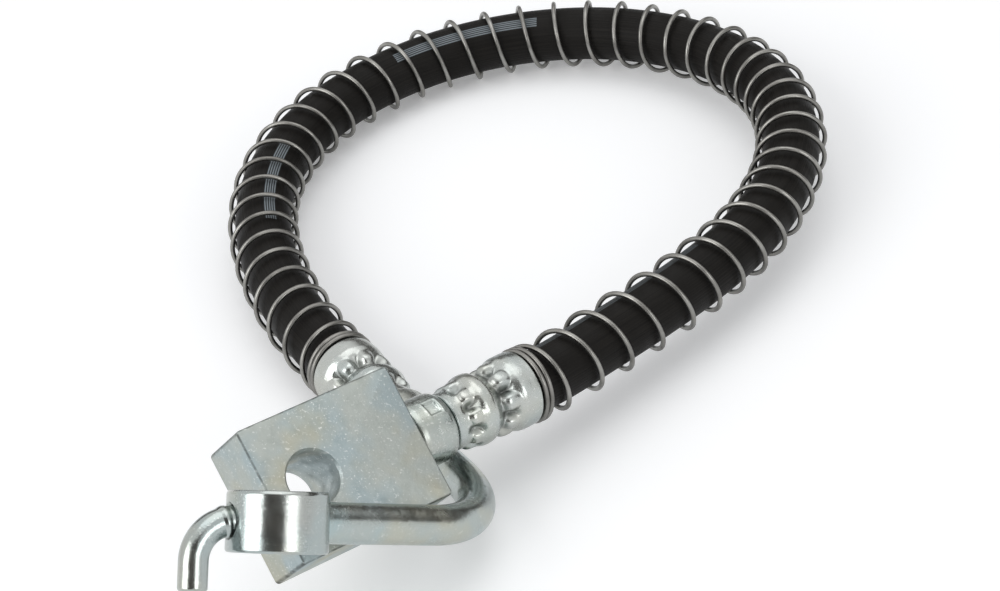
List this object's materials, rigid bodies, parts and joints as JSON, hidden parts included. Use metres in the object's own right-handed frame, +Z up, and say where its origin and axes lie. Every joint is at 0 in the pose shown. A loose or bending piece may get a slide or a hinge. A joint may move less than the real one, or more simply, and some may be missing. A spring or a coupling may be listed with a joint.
{
  "type": "brake hose",
  "caption": "Rubber brake hose in a coil-spring guard, looped on itself, with crimped fittings that carry a bolt-on junction block and a bent pipe with a banjo eye and locating pin.",
  "frame": {"origin": "middle of the outline, on the surface that the hose lies on", "axes": "+Z up from that surface; +Y from the two fittings towards the far end of the loop; +X to the right of +Y"},
  "size_m": [0.1128, 0.1868, 0.0389],
  "materials": {
    "rubber": "matt black extruded rubber with fine lines along it and thin grey printed stripes",
    "spring_wire": "dull plated spring steel wire",
    "crimped_zinc": "bright zinc plate, creased by the crimping dies",
    "turned_zinc": "bright zinc plate on turned steel, with faint turning lines",
    "block_zinc": "matt mottled zinc plate with faint blue and yellow tints",
    "pipe_zinc": "smooth bright zinc plate with a grey-green tint"
  },
  "bodies": {
    "root": {"hose": "rubber", "spring_guard": "spring_wire", "block_end_ferrule": "crimped_zinc", "block_end_insert": "turned_zinc", "junction_block": "block_zinc", "pipe_end_ferrule": "crimped_zinc", "pipe_end_insert": "turned_zinc", "bent_pipe": "pipe_zinc", "banjo_eye": "turned_zinc", "locating_pin": "turned_zinc"}
  },
  "joints": []
}
